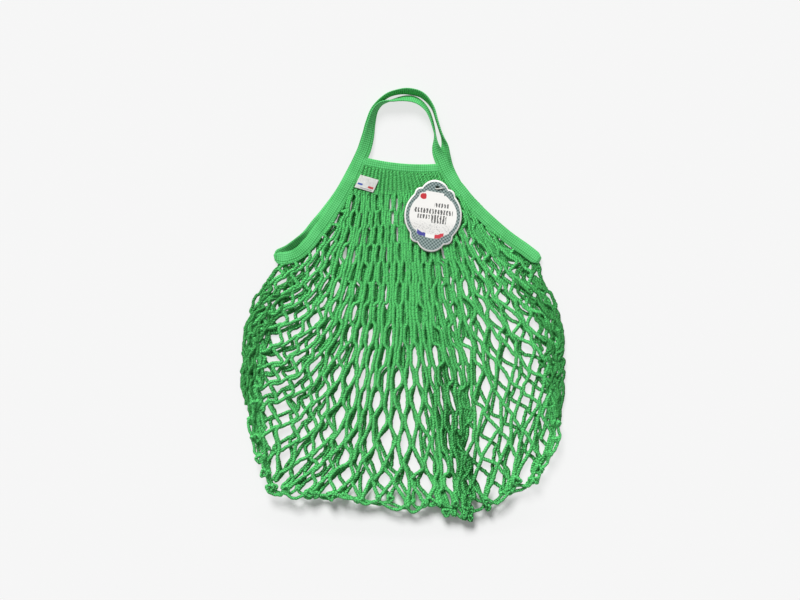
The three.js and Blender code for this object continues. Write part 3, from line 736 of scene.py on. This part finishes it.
tape_cotton = tape_finish("green knitted tape", TAPE_GROOVES)
front_run = tape_run(TAPE_FRONT, TAPE_RING)
back_run = tape_run(TAPE_BACK, TAPE_RING)
back_run = [part[::-1] for part in (back_run[0], back_run[1], -back_run[2])]
right_fold = tape_fold([part[-1] for part in front_run], [part[0] for part in back_run])
left_fold = tape_fold([part[-1] for part in back_run], [part[0] for part in front_run])
left_fold = (left_fold[0], left_fold[1], left_fold[2] * np.array([1, 1, -1]))
loop = [np.concatenate(parts) for parts in zip(front_run, right_fold, back_run, left_fold)]
to_end = np.minimum(loop[0][:, 0].max() - loop[0][:, 0], loop[0][:, 0] - loop[0][:, 0].min())[:, None]
loop[1] = loop[1] * (1 - 0.42 * np.exp(-((to_end / END_ROUND) ** 2) * 2.5))
rings, uv = swept(*loop, tape_profile(TAPE_WIDTH, TAPE_THICK, TAPE_GROOVES, GROOVE_DEPTH))
tape_nodes = ["handle_front", "handle_back", "side_tape_left", "side_tape_right"]
skin("tape", rings, uv, tape_cotton, tape_nodes, wrap=True)

# ---- Rib panels ----
# The net's top ends in a short, close rib knit on each face of the bag: two dozen ropes of green cotton side
# by side, which spread a little downwards before they open into the net.
RIBS = 24
RIB_WIDTH = 4.6
RIB_HEIGHT = 3.0
RIB_DEEP = (0.008, 0.110, 0.016, 1)
RIB_BRIGHT = (0.115, 0.610, 0.170, 1)
PANEL_HEAD = (-47.0, 41.0)
PANEL_FOOT = 354.0
PANEL_FOOT_WIDE = (-58.0, 56.0)
BAND_LOW = 383.0
BAND_LOW_X = 20.0
BAND_BEND = 0.0020
PANELS = (("rib_panel_front", FRONT_NET_Z - 0.4), ("rib_panel_back", BACK_NET_Z))

rib_cotton = knit_finish("green rib knit", RIB_DEEP, RIB_BRIGHT, 0.85)
head_x = np.linspace(*PANEL_HEAD, RIBS)
foot_x = np.linspace(*PANEL_FOOT_WIDE, RIBS)
head_y = BAND_LOW + BAND_BEND * (head_x - BAND_LOW_X) ** 2 - 4
share = np.linspace(0, 1, 28)[None, :]
for layer, base_z in PANELS:
    x = head_x[:, None] * (1 - share) + foot_x[:, None] * share
    y = head_y[:, None] * (1 - share) + PANEL_FOOT * share
    z = base_z + 0.12 * noise(x.shape, 5, 2)
    rings, uv = string_rings(np.stack([x, y, z], -1), RIB_WIDTH, RIB_HEIGHT)
    skin(layer, rings, uv, rib_cotton, [layer])

# ---- Top bands ----
# A narrow binding of the same knitted tape closes each panel's top edge. It sags between the handles' feet,
# on the curve that the ribs' heads follow.
BAND_WIDTH = 10.0
BAND_THICK = 3.0
BAND_ENDS = (-44.0, 39.0)
BAND_GROOVES = (-3.9,)
BAND_GROOVE_DEPTH = 0.3
BANDS = (("top_band_front", FRONT_NET_Z - 0.7), ("top_band_back", BACK_NET_Z - 0.2))

band_cotton = tape_finish("green knitted band", BAND_GROOVES)
band_profile = tape_profile(BAND_WIDTH, BAND_THICK, BAND_GROOVES, BAND_GROOVE_DEPTH)
x = np.linspace(*BAND_ENDS, 90)
y = BAND_LOW + BAND_BEND * (x - BAND_LOW_X) ** 2
for layer, base_z in BANDS:
    middle = np.stack([x, y, base_z + 0 * x], 1)
    way = np.gradient(middle, axis=0)
    across = np.cross([[0, 0, 1]], way / np.linalg.norm(way, axis=1, keepdims=True))
    face = np.array([[0, 0, 1.0]]) + 0 * across
    rings, uv = swept(middle, across, face, band_profile)
    skin(layer, rings, uv, band_cotton, [layer])

# ---- Woven label ----
# A small white woven ribbon, sewn by its upper edge where the left handle meets the top band. A blue and a
# red bar and a thin grey line are woven in.
LABEL_THICK = 0.5
LABEL_Z = 8.4
LABEL_YARN = 0.6
LABEL_RELIEF = 0.0002
LABEL_DULL = (0.64, 0.65, 0.61, 1)
LABEL_WHITE = (0.94, 0.95, 0.92, 1)
LABEL_MARKS = (
    ((-5.6, 12.5), (0.25, 6.5), (0.35, 0.36, 0.36, 1)),
    ((-2.0, 4.3), (0.9, 2.6), (0.05, 0.10, 0.45, 1)),
    ((-2.8, 16.6), (1.1, 2.9), (0.60, 0.05, 0.06, 1)),
)


def bar(finish, across, along, middle, half, soft=0.2):
    """1 inside a rectangle round middle, fading to 0 over soft at its edges."""
    beside = (across - middle[0]).size().ramp(half[0] + soft, half[0])
    return beside * (along - middle[1]).size().ramp(half[1] + soft, half[1])


label_finish = Finish("white woven label", Roughness=0.85, Sheen_Weight=0.1)
across = label_finish.strand(0)
along = label_finish.strand(1)
yarn_turn = 2 * np.pi / LABEL_YARN
weave = (along * yarn_turn).sin() * (across * yarn_turn).sin() * 0.5 + 0.5
mottle = label_finish.grain(label_finish.spot(), 300.0)
colour = label_finish.blend(mottle, LABEL_DULL, LABEL_WHITE)
for middle, half, yarn in LABEL_MARKS:
    colour = label_finish.blend(bar(label_finish, across, along, middle, half), colour, yarn)
label_finish.wear(Base_Color=colour, Normal=label_finish.relief(weave, LABEL_RELIEF))
low_left, low_right, high_right, high_left = LABEL_CORNERS
share = np.linspace(0, 1, 30)[:, None]
low = low_left * (1 - share) + low_right * share
high = high_left * (1 - share) + high_right * share
middle = np.concatenate([(low + high) / 2, LABEL_Z + 0.5 * np.sin(share * np.pi)], 1)
across_label = np.concatenate([high - low, 0 * share + 0.5], 1)
width = np.linalg.norm(across_label, axis=1).mean()
across_label = across_label / np.linalg.norm(across_label, axis=1, keepdims=True)
face = np.array([[0, 0, 1.0]]) + 0 * across_label
rings, uv = swept(middle, across_label, face, tape_profile(width, LABEL_THICK, (), 0))
skin("woven_label", rings, uv, label_finish.material, ["woven_label"])

# ---- Care label ----
# A small whitish cloth label that hangs between the two layers and is seen through the front net. It is
# plain, and its cloth ripples a little.
CARE_X = (-15.0, 2.0)
CARE_Y = (320.0, 350.0)
CARE_Z = 4.1
CARE_THICK = 0.4
CARE_DULL = (0.55, 0.58, 0.55, 1)
CARE_WHITE = (0.80, 0.82, 0.79, 1)

care_finish = Finish("white care label", Roughness=0.85)
mottle = care_finish.grain(care_finish.spot(), 400.0)
care_finish.wear(Base_Color=care_finish.blend(mottle, CARE_DULL, CARE_WHITE))
y = np.linspace(*CARE_Y, 24)
middle = np.stack([0 * y + sum(CARE_X) / 2, y, CARE_Z + 0.15 * np.sin(y / 4)], 1)
across_care = np.array([[1.0, 0, 0]]) + 0 * middle
face = np.array([[0, 0, 1.0]]) + 0 * middle
rings, uv = swept(middle, across_care, face, tape_profile(CARE_X[1] - CARE_X[0], CARE_THICK, (), 0))
skin("care_label", rings, uv, care_finish.material, ["care_label"])

# ---- Hang tag ----
# A printed card with a scalloped outline, turned a little to the right. A white rim runs round a grey-green
# field with a fine diamond pattern, and a white oval in it carries a round red mark, grey printing and a
# three-coloured ribbon. Its outline is the union of round discs, given as x, y and radius.
TAG_MIDDLE = (33.0, 331.5)
TAG_TURN = np.radians(-5.0)
TAG_DISCS = [
    (0, 0, 31.5), (0, 23.5, 15.8), (0, -24.2, 16.0), (15.3, 23.0, 7.0), (-15.3, 23.0, 7.0),
    (15.9, -23.5, 7.5), (-15.9, -23.5, 7.5),
]
TAG_THICK = 0.6
TAG_Z = 9.3
TAG_BOW = 0.0006
TAG_SPOKES = 180
TAG_RINGS = 16
TAG_WHITE = (0.86, 0.85, 0.82, 1)
TAG_INK = (0.06, 0.06, 0.06, 1)
TAG_SPECKLE = (0.20, 0.20, 0.20, 1)
TAG_BLUE = (0.07, 0.07, 0.33, 1)
TAG_RED = (0.60, 0.05, 0.07, 1)
MARK_RED = (0.55, 0.035, 0.045, 1)
EYELET_PAINTED_SHADE = (0.004, 0.012, 0.006, 1)
RIM_EDGE = (0.943, 0.953)
DIAMOND_DEEP = (0.016, 0.052, 0.052, 1)
DIAMOND_PALE = (0.365, 0.455, 0.435, 1)
DIAMOND_PITCH = 1.6
OVAL = (26.1, 25.0)
OVAL_EDGE = (1.03, 0.98)
EYELET = (1.0, 31.2)
EYELET_EDGE = (2.2, 1.9)
ROUND_MARK = (-12.8, 20.0)
MARK_WHITE_EDGE = (4.7, 4.4)
MARK_RED_EDGE = (3.6, 3.3)
RIBBON_DROP = 22.9
RIBBON_BEND = 0.015
RIBBON_EDGE = (2.3, 1.9)
RIBBON_SHIFT = 0.9
RIBBON_ENDS = (15.0, 14.7)
RIBBON_INKS = ((-10.9, TAG_BLUE), (9.1, TAG_RED))
INK_ENDS = (5.0, 4.7)
BANNER = ((-0.5, 24.0), (9.9, 1.7))
PRINT_LINES = (
    ((8.4, 11.8), (8.2, 2.2)),
    ((-0.4, 4.4), (21.5, 2.5)),
    ((-10.3, -2.1), (6.6, 2.2)),
    ((6.3, -3.6), (8.5, 4.4)),
)


def tag_reach(angle):
    """How far the card's outline is from its middle at each angle: the farthest way out of any disc. A ray at
    that angle leaves a disc at the disc middle's share along the ray plus the half chord."""
    reach = np.zeros_like(angle)
    for x, y, radius in TAG_DISCS:
        near = x * np.cos(angle) + y * np.sin(angle)
        inside = radius**2 - (x**2 + y**2 - near**2)
        reach = np.maximum(reach, np.where(inside > 0, near + np.sqrt(np.maximum(inside, 0)), 0))
    return reach


def away(x, y, middle):
    """Distance from a point of the card: the root of the sum of the squares across and along."""
    return ((x - middle[0]) ** 2.0 + (y - middle[1]) ** 2.0) ** 0.5


card = Finish("printed card", Roughness=0.55, Specular_IOR_Level=0.3)
x = card.strand(0)
y = card.strand(1)
rim = card.strand(0, "rim")
spot = card.spot()
diamonds = (x * DIAMOND_PITCH).sin() * (y * DIAMOND_PITCH).sin() * 0.5 + 0.5
colour = card.blend(diamonds, DIAMOND_DEEP, DIAMOND_PALE)
oval = ((x / OVAL[0]) ** 2.0 + (y / OVAL[1]) ** 2.0).ramp(*OVAL_EDGE)
colour = card.blend(oval.most(bar(card, x, y, *BANNER, 0.4)), colour, TAG_WHITE)
speckle = (card.grain(spot, 900.0).ramp(0.5, 0.65) * 0.45 + 0.12) * y.ramp(-4.0, -14.0) * y.ramp(-23.0, -20.0)
colour = card.blend(speckle * oval, colour, TAG_SPECKLE)
strokes = (x * 2.0 + card.grain(spot, 300.0) * 6.0).sin().ramp(-0.4, 0.1)
for middle, half in PRINT_LINES:
    colour = card.blend(bar(card, x, y, middle, half) * strokes * 0.92, colour, TAG_INK)
mark = away(x, y, ROUND_MARK)
colour = card.blend(mark.ramp(*MARK_WHITE_EDGE), colour, TAG_WHITE)
colour = card.blend(mark.ramp(*MARK_RED_EDGE), colour, MARK_RED)
bow = y + RIBBON_DROP - (x**2.0) * RIBBON_BEND
ribbon = bow.size().ramp(*RIBBON_EDGE) * (x + RIBBON_SHIFT).size().ramp(*RIBBON_ENDS)
colour = card.blend(ribbon, colour, TAG_WHITE)
for middle, ink in RIBBON_INKS:
    colour = card.blend(ribbon * (x - middle).size().ramp(*INK_ENDS), colour, ink)
colour = card.blend(rim.ramp(*RIM_EDGE), colour, TAG_WHITE)
# The eyelet is no hole in the card: a dark disc painted there stands for the hole and its shade.
colour = card.blend(away(x, y, EYELET).ramp(*EYELET_EDGE), colour, EYELET_PAINTED_SHADE)
card.wear(Base_Color=colour)

angle = np.linspace(0, 2 * np.pi, TAG_SPOKES, endpoint=False)
reach = tag_reach(angle)
share = np.concatenate([np.linspace(0.02, 1, TAG_RINGS), np.linspace(1, 0.02, TAG_RINGS)])
height = np.where(np.arange(2 * TAG_RINGS) < TAG_RINGS, TAG_THICK / 2, -TAG_THICK / 2)
local_x = share[:, None] * reach * np.cos(angle)
local_y = share[:, None] * reach * np.sin(angle)
turned = np.stack([
    TAG_MIDDLE[0] + local_x * np.cos(TAG_TURN) - local_y * np.sin(TAG_TURN),
    TAG_MIDDLE[1] + local_x * np.sin(TAG_TURN) + local_y * np.cos(TAG_TURN),
    TAG_Z + height[:, None] + 0 * local_x + TAG_BOW * local_x**2,
], -1)[None]
uv = np.stack([local_x, local_y], -1)
uv = np.concatenate([uv, uv[:, :1]], 1)[None]
tag = skin("hang_tag", turned, uv, card.material, ["hang_tag"])
rim_layer = tag.data.uv_layers.new(name="rim")
ring_share = np.zeros((len(tag.data.vertices), 2))
ring_share[:, 0] = np.repeat(share, TAG_SPOKES)
corner = np.zeros(len(tag.data.loops), int)
tag.data.loops.foreach_get("vertex_index", corner)
rim_layer.data.foreach_set("uv", ring_share[corner].reshape(-1).astype(np.float32))

# ---- Tag tie ----
# A white cotton thread that comes up through the card's eyelet and lies on the card to its right. It is the
# card's only fixing that shows.
THREAD = 1.1
THREAD_DULL = (0.55, 0.55, 0.50, 1)
THREAD_WHITE = (0.85, 0.85, 0.80, 1)
TIE = [(35.6, 361.6, 6.0), (35.8, 361.1, 8.9), (37.2, 360.6, 10.6), (40.6, 361.0, 11.0), (44.4, 361.8, 10.9)]

thread = Finish("white cotton thread", Roughness=0.9)
mottle = thread.grain(thread.spot(), 1500.0)
thread.wear(Base_Color=thread.blend(mottle, THREAD_DULL, THREAD_WHITE))
rings, uv = string_rings(smooth_line(np.array([TIE]), 8), THREAD, THREAD)
skin("tag_tie", rings, uv, thread.material, ["tag_tie"])

# ---- Floor, light and camera ----
# A pale studio floor that glows, as a light table does, under a broad soft light from the upper left. It
# glows less under the close upper net and along the hem, and is whiter there, so it is as bright but takes
# shadows. The camera looks straight down at a point within 5 mm of the bag's middle.
FRAME_WIDE = 800
PIXEL = 1.1
PHOTO_MIDDLE = (-3.3, 238.7)
LENS = 85.0
SENSOR = 36.0
FLOOR_SIZE = 6.0
UPPER_NET = ((0, 312), (75, 50))
HEM_STRIP = ((0, 2), (150, 26))
GLOW = (0.70, 0.70, 0.70, 1)
GLOW_SHADED = (0.05, 0.05, 0.05, 1)
PAINT = (0.20, 0.20, 0.20, 1)
PAINT_SHADED = (0.78, 0.78, 0.78, 1)
SUN_STRENGTH = 3.8
SUN_WIDE = np.radians(25)
SUN_TURN = (np.radians(-46), np.radians(-18), 0)
SKY_STRENGTH = 0.30


def under(middle, half):
    """1 inside an oval on the floor, 0 outside it, with a wide soft edge."""
    middle = place([*middle, 0])
    half = np.array(half) * MM
    x = (floor_x - middle[0]) / half[0]
    y = (floor_y - middle[1]) / half[1]
    return (x**2.0 + y**2.0).ramp(1.5, 0.5)


floor_finish = Finish("pale floor", Roughness=0.9, Specular_IOR_Level=0.1, Emission_Strength=1.0)
spot = floor_finish.spot()
floor_x = floor_finish.node("ShaderNodeSeparateXYZ", {0: spot})
floor_y = floor_finish.node("ShaderNodeSeparateXYZ", {0: spot}, 1)
shaded = (under(*UPPER_NET) * 0.8).most(under(*HEM_STRIP))
glow = floor_finish.blend(shaded, GLOW, GLOW_SHADED)
paint = floor_finish.blend(shaded, PAINT, PAINT_SHADED)
floor_finish.wear(Base_Color=paint, Emission_Color=glow)
bpy.ops.mesh.primitive_grid_add(x_subdivisions=2, y_subdivisions=2, size=FLOOR_SIZE)
floor = bpy.context.object
floor.name = "floor"
floor.data.materials.append(floor_finish.material)

sun_data = bpy.data.lights.new("key", "SUN")
sun_data.energy = SUN_STRENGTH
sun_data.angle = SUN_WIDE
sun = bpy.data.objects.new("key", sun_data)
sun.rotation_euler = SUN_TURN
bpy.context.scene.collection.objects.link(sun)

world = bpy.data.worlds.new("studio")
world.use_nodes = True
sky = world.node_tree.nodes["Background"]
sky.inputs["Color"].default_value = (1, 1, 1, 1)
sky.inputs["Strength"].default_value = SKY_STRENGTH
bpy.context.scene.world = world
bpy.context.scene.view_settings.view_transform = "Standard"

camera_data = bpy.data.cameras.new("camera")
camera_data.lens = LENS
camera_data.sensor_width = SENSOR
camera = bpy.data.objects.new("camera", camera_data)
camera.location = place([*PHOTO_MIDDLE, FRONT_NET_Z + FRAME_WIDE * PIXEL * LENS / SENSOR])
bpy.context.scene.collection.objects.link(camera)
bpy.context.scene.camera = camera
